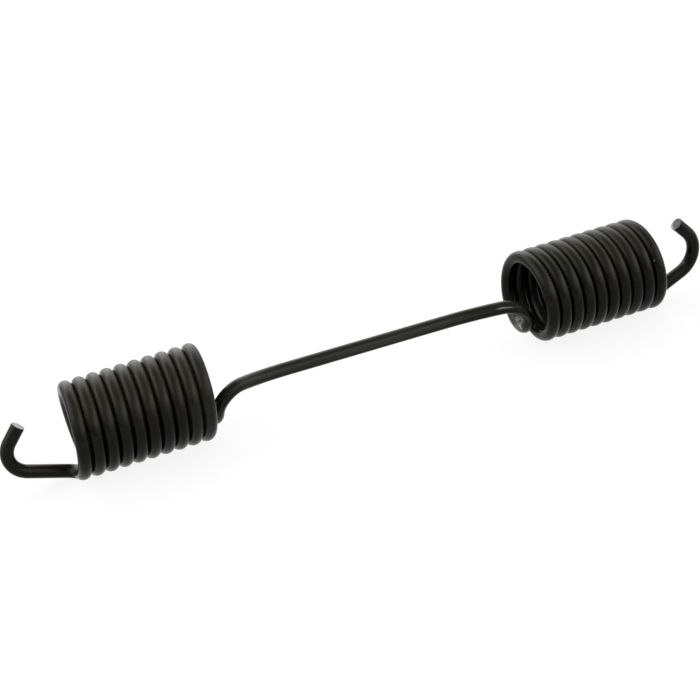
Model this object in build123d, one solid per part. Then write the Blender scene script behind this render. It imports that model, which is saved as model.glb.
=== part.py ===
"""Brake shoe return spring, bent from one length of round spring wire.

A straight bar runs through the middle. At each of its ends the wire curls round into a close-wound
coil, and each coil leaves through a straight leg that ends in an open hook. The left coil is wound
the opposite way to the right one, so the two halves are mirror images, apart from two things: the
right hook is a little larger, with a leg that rises further in towards the coil's line, and the
right half's coil, leg and hook are turned 3 degrees off the bar's line.

Sizes are in millimetres and angles in degrees. X runs along the bar, and the legs are on the -Z
side. The left hook lies in the XZ plane, and the right one in the plane of its own turned coil. The
origin is at the middle of the bar's length, on the line through the two coils. An angle round a
coil is measured from +Y towards +Z.
"""

from build123d import *
from math import atan2, cos, degrees, pi, radians, sin, tan
import os

# Wire. Every radius and run below is that of the wire's centre line.
WIRE_DIAMETER = 4.5

# Coils. The spacing is from one coil's inner end to the other's, and a coil's inner end lies at the
# start angle. Neither coil is quite true to the bar: a positive lean lifts a coil's +X end, and a
# positive yaw swings that end towards +Y.
COIL_OUTER_DIAMETER = 32.1
TURN_GAP = 0.1
WHOLE_TURNS = 10
COIL_START_ANGLE = -25.0
COIL_SPACING = 114.7
RIGHT_COIL_LEAN = -1.0
LEFT_COIL_LEAN = 1.0
RIGHT_COIL_YAW = 3.0
LEFT_COIL_YAW = 0.0

# Bar between the coils, which lies a little under the coils' line, and the bends at its ends. The
# knee is where the wire turns down inside the coil's near side. The curl carries it on round the
# bottom, and its corner lies back round the coil from the coil's start by the curl angle.
BAR_DROP = 0.5
BEND_LENGTH = 19.1
KNEE_INSET = 3.3
KNEE_ANGLE = 162.0
CURL_ANGLE = 55.0

# Legs. Each leaves its coil at the leg angle and rises from there towards the coils' line.
LEG_ANGLE = -90.0
LEG_EXIT_RUN = 4.5
LEG_LENGTH = 15.7
RIGHT_LEG_RISE = 6.7
LEFT_LEG_RISE = 5.35

# Hooks. Each turns back over its leg by the hook angle, and a short straight tail follows.
RIGHT_HOOK_RADIUS = 8.8
LEFT_HOOK_RADIUS = 7.4
HOOK_ANGLE = 110.0
RIGHT_HOOK_TAIL = 6.0
LEFT_HOOK_TAIL = 6.3

# Sizes that follow from those above
coil_radius = (COIL_OUTER_DIAMETER - WIRE_DIAMETER) / 2
pitch = WIRE_DIAMETER + TURN_GAP
coil_start = COIL_SPACING / 2
exit_angle = LEG_ANGLE - degrees(atan2(LEG_EXIT_RUN, coil_radius))
turns = WHOLE_TURNS + (exit_angle - COIL_START_ANGLE) / 360
coil_length = pitch * turns
coil_middle = Vector(coil_start + coil_length / 2, 0, 0)
ALONG = Vector(1, 0, 0)


def round_coil(x, radius, angle):
    """The point at a given distance from the coils' line, at an angle round it."""
    return Vector(x, radius * cos(radians(angle)), radius * sin(radians(angle)))


def arc_at(corner, before, after, cut):
    """The arc that rounds a corner, touching both straight runs at the cut's distance from it."""
    way_in = (corner - before).normalized()
    way_out = (after - corner).normalized()
    return TangentArc(corner - way_in * cut, corner + way_out * cut, tangent=way_in)


def coil_line():
    """The coil's centre line, a right-handed helix that starts at the bend."""
    radial = round_coil(0, 1, COIL_START_ANGLE)
    base = Plane(origin=(coil_start, 0, 0), x_dir=radial, z_dir=ALONG)
    return base * Helix(pitch=pitch, height=coil_length, radius=coil_radius)


def leg_and_hook(coil, rise, hook_radius, hook_tail):
    """The wire's way out of the coil: a tight corner, the straight leg, the hook and its tail."""
    coil_end = coil @ 1
    foot = coil_end + (coil % 1) * LEG_EXIT_RUN
    inward = Vector(0, -foot.Y, -foot.Z).normalized()
    leg_end = foot + ALONG * LEG_LENGTH + inward * rise
    corner = arc_at(foot, coil_end, leg_end, LEG_EXIT_RUN)
    leg = Line(corner @ 1, leg_end)

    forward = leg % 1
    across = (inward - forward * inward.dot(forward)).normalized()
    centre = leg_end + across * hook_radius
    turn = radians(HOOK_ANGLE)
    hook_end = centre + (forward * sin(turn) - across * cos(turn)) * hook_radius
    hook = TangentArc(leg_end, hook_end, tangent=forward)
    tail = Line(hook_end, hook_end + (hook % 1) * hook_tail)
    return [corner, leg, hook, tail]


def bend_line(coil):
    """The wire's way from the bar into the coil: up from the bar, round the knee, and the curl."""
    bar_middle = Vector(0, 0, -BAR_DROP)
    bar_end = bar_middle + ALONG * (coil_start - BEND_LENGTH)
    knee = round_coil(coil_start - pitch / 2, coil_radius - KNEE_INSET, KNEE_ANGLE)
    coil_begin = coil @ 0
    curl_cut = coil_radius * tan(radians(CURL_ANGLE))
    curl = coil_begin - (coil % 0) * curl_cut
    knee_cut = (curl - knee).length - curl_cut
    bar_cut = (knee - bar_end).length - knee_cut
    return [
        Line(bar_middle, bar_end - ALONG * bar_cut),
        arc_at(bar_end, bar_middle, knee, bar_cut),
        arc_at(knee, bar_end, curl, knee_cut),
        arc_at(curl, knee, coil_begin, curl_cut),
    ]


def half_line(lean, yaw, rise, hook_radius, hook_tail):
    """The centre line from the bar's middle to a hook's tip, on the +X side.

    The coil with its leg and hook leans and swings about the coil's middle, and the bend meets it
    at the coil's inner end.
    """
    coil = coil_line()
    outer = [coil] + leg_and_hook(coil, rise, hook_radius, hook_tail)
    lean_axis = Axis(coil_middle, Vector(0, -1, 0))
    yaw_axis = Axis(coil_middle, Vector(0, 0, 1))
    outer = [edge.rotate(lean_axis, lean).rotate(yaw_axis, yaw) for edge in outer]
    return bend_line(outer[0]) + outer


def wire_line():
    """The whole centre line. The left half is worked out on the +X side and then mirrored."""
    right = half_line(
        RIGHT_COIL_LEAN, RIGHT_COIL_YAW, RIGHT_LEG_RISE, RIGHT_HOOK_RADIUS, RIGHT_HOOK_TAIL)
    left = half_line(
        -LEFT_COIL_LEAN, -LEFT_COIL_YAW, LEFT_LEG_RISE, LEFT_HOOK_RADIUS, LEFT_HOOK_TAIL)
    return Wire([edge.mirror(Plane.YZ) for edge in left] + right)


def spring_wire(line):
    """The spring: the wire's round section carried along its centre line, with both ends cut square."""
    section = (line ^ 0) * Circle(WIRE_DIAMETER / 2)
    return sweep(section, path=line)


line = wire_line()
spring = spring_wire(line)
section_area = pi * WIRE_DIAMETER ** 2 / 4
print("volume", round(spring.volume, 1), "section times length", round(section_area * line.length, 1))

os.makedirs("parts", exist_ok=True)
export_step(spring, "parts/spring_wire.step")
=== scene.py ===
"""Looks of a brake shoe return spring: one length of dark spring wire on a pale studio floor."""

import bpy
import numpy as np
from mathutils import Matrix


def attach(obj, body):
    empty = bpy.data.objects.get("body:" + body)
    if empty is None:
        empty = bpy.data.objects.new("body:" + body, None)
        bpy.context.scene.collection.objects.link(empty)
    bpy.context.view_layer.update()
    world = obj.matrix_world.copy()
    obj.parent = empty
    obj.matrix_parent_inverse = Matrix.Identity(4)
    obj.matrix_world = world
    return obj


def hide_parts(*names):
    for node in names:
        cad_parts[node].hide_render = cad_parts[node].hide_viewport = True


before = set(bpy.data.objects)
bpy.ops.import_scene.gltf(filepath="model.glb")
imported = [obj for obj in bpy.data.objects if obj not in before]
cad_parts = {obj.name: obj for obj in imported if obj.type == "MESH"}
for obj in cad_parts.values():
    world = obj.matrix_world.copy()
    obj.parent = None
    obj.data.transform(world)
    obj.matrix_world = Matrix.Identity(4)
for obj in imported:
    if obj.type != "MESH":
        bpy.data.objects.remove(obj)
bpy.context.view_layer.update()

# The line of the wire
# The spring is one length of round spring wire, wound cold into two coils and bent at a bench into a
# bar, two bends, two legs and two hooks. This is the line through its middle, in millimetres, from
# the left hook's tip to the right one's. The left half is worked out on the right and mirrored.
wire_radius = 2.25
coil_radius = 13.8
pitch = 4.6
coil_start_x = 57.35
coil_start_angle = np.radians(-25.0)
coil_droop = np.radians(1.0)
right_coil_turn = np.radians(3.0)
leg_exit_run = 4.5
whole_turns = 10
coil_end_angle = np.radians(-90.0) - np.arctan2(leg_exit_run, coil_radius) + 2 * np.pi * whole_turns
coil_length = pitch * (coil_end_angle - coil_start_angle) / (2 * np.pi)
coil_middle = np.array([coil_start_x + coil_length / 2, 0, 0])

bar_drop = 0.5
bend_length = 19.1
knee_inset = 3.3
knee_angle = np.radians(162.0)
curl_angle = np.radians(55.0)

leg_length = 15.7
right_leg_rise, left_leg_rise = 6.7, 5.35
right_hook_radius, left_hook_radius = 8.8, 7.4
hook_angle = np.radians(110.0)
right_hook_tail, left_hook_tail = 6.0, 6.3

along = np.array([1.0, 0, 0])
line_step = 0.05
same_point = line_step / 100


def unit(direction):
    """The direction divided by its own length."""
    return direction / np.linalg.norm(direction)


def straight(start, end):
    """Points at even steps from start to end."""
    count = int(np.ceil(np.linalg.norm(end - start) / line_step)) + 1
    return start + (end - start) * np.linspace(0, 1, count)[:, None]


def swing(start, heading, across, radius, turn):
    """An arc: start + radius * (sin t * heading + (1 - cos t) * across), with t from 0 to the turn."""
    t = np.linspace(0, turn, int(np.ceil(radius * turn / line_step)) + 1)[:, None]
    return start + radius * (np.sin(t) * heading + (1 - np.cos(t)) * across)


def rounded(before, corner, after, cut):
    """The arc that rounds a corner: it touches both runs at the cut's distance from the corner."""
    way_in, way_out = unit(corner - before), unit(after - corner)
    turn = np.arccos(way_in @ way_out)
    across = unit(way_out - way_in * (way_in @ way_out))
    return swing(corner - way_in * cut, way_in, across, cut / np.tan(turn / 2), turn)


def round_coil(x, radius, angle):
    """The point at x along the coils' line, and at a radius and an angle round it."""
    return np.array([x, radius * np.cos(angle), radius * np.sin(angle)])


def coil_turns():
    """A helix: x grows by one pitch a turn, and y and z are the radius times cosine and sine."""
    count = int((coil_end_angle - coil_start_angle) * coil_radius / line_step)
    angle = np.linspace(coil_start_angle, coil_end_angle, count)
    x = coil_start_x + pitch * (angle - coil_start_angle) / (2 * np.pi)
    return round_coil(x, coil_radius, angle).T


def coil_heading(angle):
    """The helix's direction: its rate of change with the angle, brought to length one."""
    return unit(round_coil(pitch / (2 * np.pi), coil_radius, angle + np.pi / 2))


def leg_and_hook(coil_end, rise, hook_radius, hook_tail):
    """The tight corner out of the coil, the straight leg, the hook's arc and its straight tail."""
    foot = coil_end + coil_heading(coil_end_angle) * leg_exit_run
    inward = -unit(foot * [0, 1, 1])
    leg_end = foot + along * leg_length + inward * rise
    corner = rounded(coil_end, foot, leg_end, leg_exit_run)
    forward = unit(leg_end - foot)
    across = unit(inward - forward * (inward @ forward))
    hook = swing(leg_end, forward, across, hook_radius, hook_angle)
    tail_heading = forward * np.cos(hook_angle) + across * np.sin(hook_angle)
    tail = straight(hook[-1], hook[-1] + tail_heading * hook_tail)
    return [corner, straight(corner[-1], leg_end), hook, tail]


def bend_from_bar(coil_begin, heading):
    """From the bar's middle to the coil: a slow rise, the knee inside the near side, and the curl."""
    bar_middle = np.array([0, 0, -bar_drop])
    bar_end = bar_middle + along * (coil_start_x - bend_length)
    knee = round_coil(coil_start_x - pitch / 2, coil_radius - knee_inset, knee_angle)
    curl_cut = coil_radius * np.tan(curl_angle)
    curl = coil_begin - heading * curl_cut
    knee_cut = np.linalg.norm(curl - knee) - curl_cut
    bar_cut = np.linalg.norm(knee - bar_end) - knee_cut
    rise = rounded(bar_middle, bar_end, knee, bar_cut)
    return [
        straight(bar_middle, rise[0]),
        rise,
        rounded(bar_end, knee, curl, knee_cut),
        rounded(knee, curl, coil_begin, curl_cut),
    ]


def coil_tilt(coil_turn):
    """The matrix that leans a coil's rows by the droop about Y and then turns them about Z."""
    lean_cos, lean_sin = np.cos(coil_droop), np.sin(coil_droop)
    turn_cos, turn_sin = np.cos(coil_turn), np.sin(coil_turn)
    lean = np.array([[lean_cos, 0, -lean_sin], [0, 1, 0], [lean_sin, 0, lean_cos]])
    return lean @ np.array([[turn_cos, turn_sin, 0], [-turn_sin, turn_cos, 0], [0, 0, 1]])


def half_line(coil_turn, rise, hook_radius, hook_tail):
    """One half, from the bar's middle to the hook's tip.

    The coil with its leg and hook droops about its middle, so that the hook hangs a little low, and
    it turns about the upright through its middle, so that the hook swings to the back.
    """
    tilt = coil_tilt(coil_turn)
    turns = coil_turns()
    outer = np.vstack([turns] + leg_and_hook(turns[-1], rise, hook_radius, hook_tail))
    outer = (outer - coil_middle) @ tilt + coil_middle
    bend = bend_from_bar(outer[0], coil_heading(coil_start_angle) @ tilt)
    return np.vstack(bend + [outer])


right_half = half_line(right_coil_turn, right_leg_rise, right_hook_radius, right_hook_tail)
left_half = half_line(0, left_leg_rise, left_hook_radius, left_hook_tail) * [-1, 1, 1]
wire_line = np.vstack([left_half[::-1], right_half])
steps = np.linalg.norm(np.diff(wire_line, axis=0), axis=1)
wire_line = wire_line[np.append(True, steps > same_point)]
line_place = np.append(0, np.cumsum(np.linalg.norm(np.diff(wire_line, axis=0), axis=1)))
wire_length = line_place[-1]

# The wire's surface
# Round wire, cut square at both ends by a shear, which barely breaks the rim. A circle of points is
# carried along the line without twisting, so that drawing marks run along the wire. In the coils the
# skin is a little wider along X, where neighbouring turns press on each other.
millimetre = 0.001
ring_step = 1.1
points_round = 36
rim_break = 0.16
rim_shares = np.array([0, 0.15, 0.4, 0.7, 1.0])
cap_rings, innermost_cap = 7, 0.15
turn_press, press_margin = 0.03, 3.0

# The rim is broken to a quarter circle
rim = rim_break * rim_shares
rim_inset = rim_break - np.sqrt(rim_break ** 2 - (rim_break - rim) ** 2)
cap_radii = np.linspace(innermost_cap, 1, cap_rings) * (wire_radius - rim_break)
inner_rings = np.linspace(rim_break, wire_length - rim_break, int(wire_length / ring_step))[1:-1]
ring_place = np.concatenate([
    0 * cap_radii, rim[1:], inner_rings, wire_length - rim[:0:-1], wire_length + 0 * cap_radii,
])
ring_radius = np.concatenate([
    cap_radii, (wire_radius - rim_inset)[1:], wire_radius + 0 * inner_rings,
    (wire_radius - rim_inset)[:0:-1], cap_radii[::-1],
])


def along_line(values):
    """The line's values at the rings' places, worked out between its points, column by column."""
    return np.stack([np.interp(ring_place, line_place, column) for column in values.T], axis=1)


def carried_side(headings, side):
    """The side direction of each ring: the last one's, less what of it lies along the new heading."""
    sides = []
    for heading in headings:
        side = unit(side - heading * (side @ heading))
        sides.append(side)
    return np.array(sides)


ring_centre = along_line(wire_line)
ring_heading = along_line(np.gradient(wire_line, line_place, axis=0))
ring_heading /= np.linalg.norm(ring_heading, axis=1, keepdims=True)
ring_side = carried_side(ring_heading, np.array([0, 1.0, 0]))
ring_other = np.cross(ring_heading, ring_side)
round_angle = np.arange(points_round) * 2 * np.pi / points_round
cosine, sine = np.cos(round_angle)[:, None], np.sin(round_angle)[:, None]
outwards = ring_radius[:, None, None] * (cosine * ring_side[:, None] + sine * ring_other[:, None])
off_axis = np.hypot(ring_centre[:, 1], ring_centre[:, 2])
in_coil = np.clip(off_axis - coil_radius + press_margin, 0, 1)
outwards[:, :, 0] *= 1 + turn_press * in_coil[:, None]
skin = ring_centre[:, None] + outwards
ends = wire_line[[0, -1]]

# The same points on the wire drawn out straight: x and y are across it, and z is the place along it
drawn_out = np.stack([
    ring_radius[:, None] * cosine[:, 0],
    ring_radius[:, None] * sine[:, 0],
    ring_place[:, None] + 0 * cosine[:, 0],
], axis=2)
drawn_out_ends = np.array([[0, 0, 0], [0, 0, wire_length]])

ring_count = len(ring_place)
ring_index = np.arange(ring_count * points_round).reshape(ring_count, points_round)
here, ahead = ring_index[:-1], ring_index[1:]
here_next, ahead_next = np.roll(here, -1, axis=1), np.roll(ahead, -1, axis=1)
walls = np.stack([here, here_next, ahead_next, ahead], axis=2).reshape(-1, 4)
pole = ring_count * points_round
first, last = ring_index[0], ring_index[-1]
start_fan = np.stack([pole + 0 * first, np.roll(first, -1), first], axis=1)
end_fan = np.stack([pole + 1 + 0 * last, last, np.roll(last, -1)], axis=1)

wire_mesh = bpy.data.meshes.new("spring_wire_skin")
points = np.vstack([skin.reshape(-1, 3), ends]) * millimetre
wire_mesh.from_pydata(points.tolist(), [], start_fan.tolist() + walls.tolist() + end_fan.tolist())
wire_mesh.polygons.foreach_set("use_smooth", np.ones(len(wire_mesh.polygons), bool))
wire_place = wire_mesh.attributes.new("wire_place", "FLOAT_VECTOR", "POINT")
wire_place.data.foreach_set("vector", np.vstack([drawn_out.reshape(-1, 3), drawn_out_ends]).ravel())

# The skin is the first material, and the two cut faces, at both ends of the list, are the second
cap_walls = len(cap_radii) * points_round
on_cut = np.zeros(len(wire_mesh.polygons), np.int32)
on_cut[:len(start_fan) + cap_walls] = 1
on_cut[-(len(end_fan) + cap_walls):] = 1
wire_mesh.polygons.foreach_set("material_index", on_cut)
wire_mesh.update()

spring = bpy.data.objects.new("spring_wire_skin", wire_mesh)
bpy.context.scene.collection.objects.link(spring)
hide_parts("spring_wire")
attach(spring, "root")

# Finish of the wire
# Oil-tempered spring steel keeps a near-black oxide skin with a brown cast and fine drawing marks
# along it. Its upper faces are painted with a paler film, which stands for oil and dust settled there
# and also for painted light from above, so the tops read lighter than the undersides. Handling has
# wiped the bar and the left coil's inner turns paler, and has rubbed or nicked the skin in a few
# places. Further spots are painted highlights and reflections at the left leg's end and the right bend.
skin_dark, skin_brown = (0.0014, 0.0015, 0.0007, 1), (0.003, 0.0028, 0.0015, 1)
# Colours of the film on upward faces: settled dust, and painted light from above
dust_and_top_light_olive, dust_and_top_light_brown = (0.0104, 0.0106, 0.0076, 1), (0.0165, 0.0142, 0.0102, 1)
wiped_pale = (0.025, 0.0258, 0.0212, 1)
# Colours of rubbed spots and nicks; the rubbed skin and steel colours also serve painted highlights, and the
# bright one a painted reflection
rubbed_skin_and_painted_light, rubbed_steel_and_painted_highlight = (0.032, 0.032, 0.029, 1), (0.16, 0.155, 0.145, 1)
painted_reflection_bright, rubbed_rust = (0.3, 0.29, 0.28, 1), (0.2, 0.115, 0.06, 1)
skin_gloss = 0.1
gloss_tint = (1, 1, 0.9, 1)
oil_roughness, dry_roughness = 0.15, 0.27
mark_strength, mark_depth = 0.5, 0.00004

streak_length, streak_width = 26.0, 0.55
streak_detail, streak_harshness = 3.0, 0.6
blotch_size, speckle_size = 9.0, 1.3
blotch_detail, speckle_detail = 3.0, 2.0
streaks_in_brown, streaks_in_dryness = 0.5, 0.8
speckles_in_dust_and_top_light, speckles_in_marks = 0.2, 0.15

# Ranges of the noises, or of a place along the wire, over which one finish gives way to another
brown_range, dust_and_top_light_range, dry_range = (0.55, 0.95), (0.1, 0.7), (0.55, 1.25)
streak_range, least_streak = (0.3, 0.6), 0.35
fleck_range, least_fleck = (0.28, 0.5), 0.6
spot_edge, spot_core = 1.0, 0.45
left_half_range, right_cast, left_cast = (930.0, 700.0), -0.06, 0.14

# Each place is an oval on the drawn-out wire, given by its middle and its reach from there. The third
# value of a wiped place is its share of the pale colour, and that of a rubbed place or of a painted
# highlight is its colour.
wiped_places = [
    ((1.0, 2.0, 970.0), (1.7, 1.7, 66.0), 1.0),
    ((0.0, 0.0, 815.0), (5.0, 5.0, 130.0), 0.4),
]
# Rust nicks and rubbed spots, then painted highlights and reflections at the left leg's end and the right
# bend and curl
rubbed_and_highlight_places = [
    ((1.4, -1.75, 1877.0), (0.3, 0.3, 0.5), rubbed_rust),
    ((-0.05, 2.24, 1923.5), (0.4, 0.3, 0.4), rubbed_rust),
    # A rubbed line along the left coil's first groove, painted bright as bare steel and as a glint
    ((-2.08, 0.7, 143.5), (0.3, 0.5, 9.0), rubbed_steel_and_painted_highlight),
    ((-2.15, -0.4, 155.0), (0.3, 0.4, 5.5), rubbed_skin_and_painted_light),
    ((-1.2, 1.9, 100.0), (0.35, 0.3, 13.0), rubbed_skin_and_painted_light),
    ((-1.95, 1.0, 36.0), (0.8, 1.1, 3.6), rubbed_skin_and_painted_light),
    # Painted highlight: light bounced off the floor onto the left leg's underside at its end
    ((-2.1, -0.7, 42.0), (0.6, 0.8, 2.6), rubbed_steel_and_painted_highlight),
    # Painted light: the right curl's lobe is made paler where it lies in its own shade
    ((-1.9, -1.1, 1042.0), (1.9, 1.9, 9.0), rubbed_skin_and_painted_light),
    # Painted highlight on the underside of the right curl
    ((-0.4, -2.2, 1041.5), (1.1, 0.7, 3.8), rubbed_steel_and_painted_highlight),
    # Painted reflection: the bright crescent along the crease of the right curl
    ((-2.15, 0.3, 1034.9), (0.5, 1.4, 0.9), painted_reflection_bright),
    # Painted highlight on the top of the right bend
    ((1.2, 1.9, 1019.0), (0.4, 0.3, 3.4), rubbed_steel_and_painted_highlight),
    # Painted highlight along the upper edge of the wire before the right curl
    ((-0.4, 2.2, 1026.5), (0.5, 0.3, 5.0), rubbed_skin_and_painted_light),
]


def add_node(tree, kind, inputs=None, **options):
    """A node of a kind, with its options set, and each input given a plain value or a link."""
    node = tree.nodes.new(kind)
    for name, value in options.items():
        setattr(node, name, value)
    for name, value in (inputs or {}).items():
        if isinstance(value, bpy.types.NodeSocket):
            tree.links.new(value, node.inputs[name])
        else:
            node.inputs[name].default_value = value
    return node


def number(tree, operation, *values):
    """The number that an operation makes of its values."""
    return add_node(tree, "ShaderNodeMath", dict(enumerate(values)), operation=operation).outputs[0]


def vector(tree, operation, *vectors):
    """The vector that an operation makes of its vectors."""
    return add_node(tree, "ShaderNodeVectorMath", dict(enumerate(vectors)), operation=operation).outputs[0]


def measure(tree, operation, *vectors):
    """The number that an operation makes of its vectors: a length or a dot product."""
    return add_node(tree, "ShaderNodeVectorMath", dict(enumerate(vectors)), operation=operation).outputs[1]


def sum_of(tree, first, second, times=1.0):
    """first + second * times"""
    return number(tree, "MULTIPLY_ADD", second, times, first)


def product_of(tree, first, second):
    """first * second"""
    return number(tree, "MULTIPLY", first, second)


def upright_part(tree, direction):
    """The Z of a vector."""
    return add_node(tree, "ShaderNodeSeparateXYZ", {0: direction}).outputs["Z"]


def graded(tree, value, low, high, to_low=0.0, to_high=1.0):
    """The value's range from low to high, smoothly carried to another range."""
    settings = {"Value": value, "From Min": low, "From Max": high, "To Min": to_low, "To Max": to_high}
    return add_node(tree, "ShaderNodeMapRange", settings, interpolation_type="SMOOTHSTEP").outputs[0]


def blended(tree, share, first, second):
    """first * (1 - share) + second * share, for colours"""
    return add_node(tree, "ShaderNodeMix", {0: share, 6: first, 7: second}, data_type="RGBA").outputs[2]


def on_drawn_out_wire(tree):
    """The place on the wire drawn out straight, in millimetres."""
    return add_node(tree, "ShaderNodeAttribute", attribute_name="wire_place").outputs["Vector"]


def new_group(name, inputs, outputs):
    """An empty group of nodes with named number or vector inputs and number outputs."""
    tree = bpy.data.node_groups.new(name, "ShaderNodeTree")
    for socket, kind in inputs.items():
        tree.interface.new_socket(socket, in_out="INPUT", socket_type=kind)
    for socket in outputs:
        tree.interface.new_socket(socket, in_out="OUTPUT", socket_type="NodeSocketFloat")
    return tree, tree.nodes.new("NodeGroupInput"), tree.nodes.new("NodeGroupOutput")


def steel_grain():
    """Uneven steel: noise in the object's own millimetres, coarse for blotches and fine for grain."""
    tree, given, out = new_group(
        "steel_grain", {"Blotch": "NodeSocketFloat", "Grain": "NodeSocketFloat"}, ["Blotches", "Grain"])
    where = add_node(tree, "ShaderNodeTexCoord").outputs["Object"]
    scaled = add_node(
        tree, "ShaderNodeVectorMath", {0: where, "Scale": 1 / millimetre}, operation="SCALE").outputs[0]
    noises = [("Blotch", "Blotches", blotch_detail), ("Grain", "Grain", speckle_detail)]
    for size, noise_name, detail in noises:
        scale = number(tree, "DIVIDE", 1.0, given.outputs[size])
        noise = add_node(tree, "ShaderNodeTexNoise", {"Vector": scaled, "Scale": scale, "Detail": detail})
        tree.links.new(noise.outputs["Fac"], out.inputs[noise_name])
    return tree


def wear_and_highlight_spot():
    """1 in the core of an oval on the drawn-out wire, and 0 from its edge on."""
    tree, given, out = new_group(
        "wear_and_highlight_spot", {"Middle": "NodeSocketVector", "Reach": "NodeSocketVector"}, ["Worn"])
    offset = vector(tree, "SUBTRACT", on_drawn_out_wire(tree), given.outputs["Middle"])
    reached = measure(tree, "LENGTH", vector(tree, "DIVIDE", offset, given.outputs["Reach"]))
    tree.links.new(graded(tree, reached, spot_edge, spot_core), out.inputs["Worn"])
    return tree


grain_group = steel_grain()
spot_group = wear_and_highlight_spot()


def grain_of(tree, blotch, grain):
    """The noises of uneven steel, as blotches and as grain of the given sizes in millimetres."""
    node = add_node(tree, "ShaderNodeGroup", {"Blotch": blotch, "Grain": grain}, node_tree=grain_group)
    return node.outputs["Blotches"], node.outputs["Grain"]


def wear_and_highlight_at(tree, middle, reach):
    """How much one spot covers the skin, for wear and for painted highlights alike."""
    spot = add_node(tree, "ShaderNodeGroup", {"Middle": middle, "Reach": reach}, node_tree=spot_group)
    return spot.outputs["Worn"]


skin_material = bpy.data.materials.new("oxide_skin")
skin_material.use_nodes = True
tree = skin_material.node_tree
shader = tree.nodes["Principled BSDF"]
blotches, speckles = grain_of(tree, blotch_size, speckle_size)
place = on_drawn_out_wire(tree)
drawn = vector(tree, "MULTIPLY", place, (1 / streak_width, 1 / streak_width, 1 / streak_length))
streaks = add_node(
    tree, "ShaderNodeTexNoise",
    {"Vector": drawn, "Scale": 1.0, "Detail": streak_detail, "Roughness": streak_harshness}).outputs["Fac"]

cast = graded(tree, upright_part(tree, place), *left_half_range, right_cast, left_cast)
brownish = sum_of(tree, sum_of(tree, blotches, streaks, streaks_in_brown), cast)
brownness = graded(tree, brownish, *brown_range)
colour = blended(tree, brownness, skin_dark, skin_brown)
# Painted top light: faces turned up get the paler film, as dust and as light falling from above, and faces
# turned down stay dark
facing_up = upright_part(tree, add_node(tree, "ShaderNodeTexCoord").outputs["Normal"])
dusty_and_top_lit = graded(tree, sum_of(tree, facing_up, speckles, speckles_in_dust_and_top_light), *dust_and_top_light_range)
colour = blended(tree, dusty_and_top_lit, colour, blended(tree, brownness, dust_and_top_light_olive, dust_and_top_light_brown))
streaky = graded(tree, streaks, *streak_range, least_streak, 1.0)
for middle, reach, share in wiped_places:
    wiped = product_of(tree, product_of(tree, wear_and_highlight_at(tree, middle, reach), streaky), share)
    colour = blended(tree, wiped, colour, wiped_pale)
flecks = graded(tree, speckles, *fleck_range, least_fleck, 1.0)
# Rubbed spots and nicks, and the painted highlights and reflections, laid over the skin
for middle, reach, rubbed_and_highlight_colour in rubbed_and_highlight_places:
    rubbed_and_painted_light = product_of(tree, wear_and_highlight_at(tree, middle, reach), flecks)
    colour = blended(tree, rubbed_and_painted_light, colour, rubbed_and_highlight_colour)
tree.links.new(colour, shader.inputs["Base Color"])

dryness = sum_of(tree, blotches, streaks, streaks_in_dryness)
roughness = graded(tree, dryness, *dry_range, oil_roughness, dry_roughness)
tree.links.new(roughness, shader.inputs["Roughness"])
marks = sum_of(tree, streaks, speckles, speckles_in_marks)
bump = add_node(tree, "ShaderNodeBump", {"Height": marks, "Strength": mark_strength, "Distance": mark_depth})
tree.links.new(bump.outputs["Normal"], shader.inputs["Normal"])
shader.inputs["Specular IOR Level"].default_value = skin_gloss
shader.inputs["Specular Tint"].default_value = gloss_tint
wire_mesh.materials.append(skin_material)

# Cut ends
# The shear leaves bare steel on both end faces. The right one is blued by heat and mottled, and the
# left one is paler. The rim is torn and pale on one side and has begun to rust on the other.
blued_dark, blued_pale = (0.012, 0.017, 0.028, 1), (0.045, 0.058, 0.09, 1)
left_end_pale, left_end_reach = (0.3, 0.275, 0.3, 1), 20.0
torn_pale, torn_rust = (0.3, 0.25, 0.25, 1), (0.07, 0.03, 0.022, 1)
cut_blotch_size, cut_grain_size = 1.1, 0.4
mottle_range, smooth_range = (0.35, 0.65), (0.3, 0.7)
torn_side, side_share = (0.8, 0.6, 0), 0.6
torn_range, rust_range = (1.9, 2.6), (2.3, 3.0)
cut_smooth, cut_rough = 0.32, 0.57
cut_strength, cut_depth = 0.5, 0.00008
cut_gloss = 0.35

cut_material = bpy.data.materials.new("cut_steel")
cut_material.use_nodes = True
tree = cut_material.node_tree
shader = tree.nodes["Principled BSDF"]
blotches, speckles = grain_of(tree, cut_blotch_size, cut_grain_size)
place = on_drawn_out_wire(tree)
across_face = vector(tree, "MULTIPLY", place, (1, 1, 0))
from_middle = measure(tree, "LENGTH", across_face)
to_side = measure(tree, "DOT_PRODUCT", across_face, torn_side)
colour = blended(tree, graded(tree, speckles, *mottle_range), blued_dark, blued_pale)
colour = blended(tree, graded(tree, upright_part(tree, place), left_end_reach, 0.0), colour, left_end_pale)
torn = graded(tree, sum_of(tree, from_middle, to_side, side_share), *torn_range)
colour = blended(tree, torn, colour, torn_pale)
rusted = graded(tree, sum_of(tree, from_middle, to_side, -side_share), *rust_range)
colour = blended(tree, rusted, colour, torn_rust)
tree.links.new(colour, shader.inputs["Base Color"])
tree.links.new(graded(tree, blotches, *smooth_range, cut_smooth, cut_rough), shader.inputs["Roughness"])
bump = add_node(tree, "ShaderNodeBump", {"Height": speckles, "Strength": cut_strength, "Distance": cut_depth})
tree.links.new(bump.outputs["Normal"], shader.inputs["Normal"])
shader.inputs["Specular IOR Level"].default_value = cut_gloss
wire_mesh.materials.append(cut_material)

# Studio floor
# A plain white sheet, wide enough to fill the view, that the spring lies on. What the camera and
# mirror-like surfaces see of it is lifted most of the way to white, so the shadow on it stays faint.
floor_half = 20.0
floor_colour = (0.86, 0.86, 0.86, 1)
floor_lift = 0.88
floor_height = points[:, 2].min()

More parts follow.
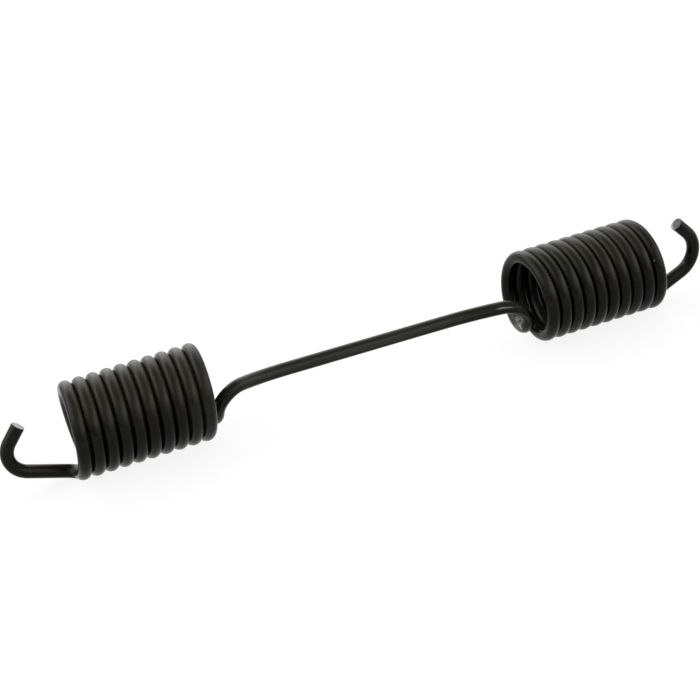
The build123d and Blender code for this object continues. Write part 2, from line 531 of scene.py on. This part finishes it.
floor_mesh = bpy.data.meshes.new("studio_floor")
floor_corners = np.array([[-1, -1], [1, -1], [1, 1], [-1, 1]]) * floor_half
floor_mesh.from_pydata([(x, y, floor_height) for x, y in floor_corners], [], [(0, 1, 2, 3)])
floor = bpy.data.objects.new("studio_floor", floor_mesh)
bpy.context.scene.collection.objects.link(floor)

floor_material = bpy.data.materials.new("white_sheet")
floor_material.use_nodes = True
tree = floor_material.node_tree
paper = tree.nodes["Principled BSDF"]
paper.inputs["Base Color"].default_value = floor_colour
paper.inputs["Roughness"].default_value = 1.0
paper.inputs["Specular IOR Level"].default_value = 0.0
white = add_node(tree, "ShaderNodeEmission", {"Color": (1, 1, 1, 1), "Strength": 1.0})
path = add_node(tree, "ShaderNodeLightPath").outputs
seen = number(tree, "MAXIMUM", path["Is Camera Ray"], path["Is Glossy Ray"])
seen = number(tree, "MAXIMUM", seen, path["Is Transmission Ray"])
lift = product_of(tree, seen, floor_lift)
lifted = add_node(tree, "ShaderNodeMixShader", {0: lift, 1: paper.outputs[0], 2: white.outputs[0]})
tree.links.new(lifted.outputs[0], tree.nodes["Material Output"].inputs["Surface"])
floor_mesh.materials.append(floor_material)

# Studio light
# A light tent: a dim pale room with nine soft glows round its back and its sides, and none in front,
# where the camera stands, so the wire's near flanks stay dark. All of it together lights a level
# surface about 1.7 times as brightly as a plain white sky of strength 1 would.
room_grey = 0.15
glow_sharpness = 14.0
glows = [
    (-95, 42, 2.8), (-50, 40, 3.1), (-5, 33, 3.7), (35, 36, 2.3), (70, 48, 1.4),
    (110, 22, 3.6), (150, 28, 2.4), (-75, 18, 1.7), (10, 2, 2.0),
]


def glow(tree, direction, azimuth, elevation, strength):
    """strength * max(0, cosine of the angle from the glow's middle) ** sharpness

    The azimuth is clockwise from +Y, and the elevation is above the floor.
    """
    bearing, rise = np.radians(azimuth), np.radians(elevation)
    middle = (np.sin(bearing) * np.cos(rise), np.cos(bearing) * np.cos(rise), np.sin(rise))
    cosine = number(tree, "MAXIMUM", measure(tree, "DOT_PRODUCT", direction, middle), 0.0)
    return product_of(tree, number(tree, "POWER", cosine, glow_sharpness), strength)


world = bpy.data.worlds.new("light_tent")
bpy.context.scene.world = world
world.use_nodes = True
tree = world.node_tree
direction = add_node(tree, "ShaderNodeTexCoord").outputs["Generated"]
level = room_grey
for azimuth, elevation, strength in glows:
    level = number(tree, "ADD", level, glow(tree, direction, azimuth, elevation, strength))
tree.links.new(level, tree.nodes["Background"].inputs["Strength"])
tree.nodes["Background"].inputs["Color"].default_value = (1, 1, 1, 1)

# Camera
# A long lens above and to the left of the spring, turned a little about its own axis.
sensor_width, lens_length, nearest_view = 36.0, 98.747, 0.01
camera_place = (-0.177473, -0.534730, 0.290057)
camera_azimuth, camera_elevation, camera_roll = -17.7139, 27.3665, 7.9491


def camera_turn(azimuth, elevation, roll):
    """Euler angles of a camera that looks from an azimuth and elevation, rolled about its sight line."""
    pan = Matrix.Rotation(np.radians(azimuth), 3, "Z")
    tilt = Matrix.Rotation(np.radians(90 - elevation), 3, "X")
    spin = Matrix.Rotation(np.radians(-roll), 3, "Z")
    return (pan @ tilt @ spin).to_euler()


camera_data = bpy.data.cameras.new("camera")
camera_data.sensor_width = sensor_width
camera_data.lens = lens_length
camera_data.clip_start = nearest_view
camera = bpy.data.objects.new("camera", camera_data)
bpy.context.scene.collection.objects.link(camera)
camera.location = camera_place
camera.rotation_euler = camera_turn(camera_azimuth, camera_elevation, camera_roll)
bpy.context.scene.camera = camera
bpy.context.scene.view_settings.view_transform = "Standard"
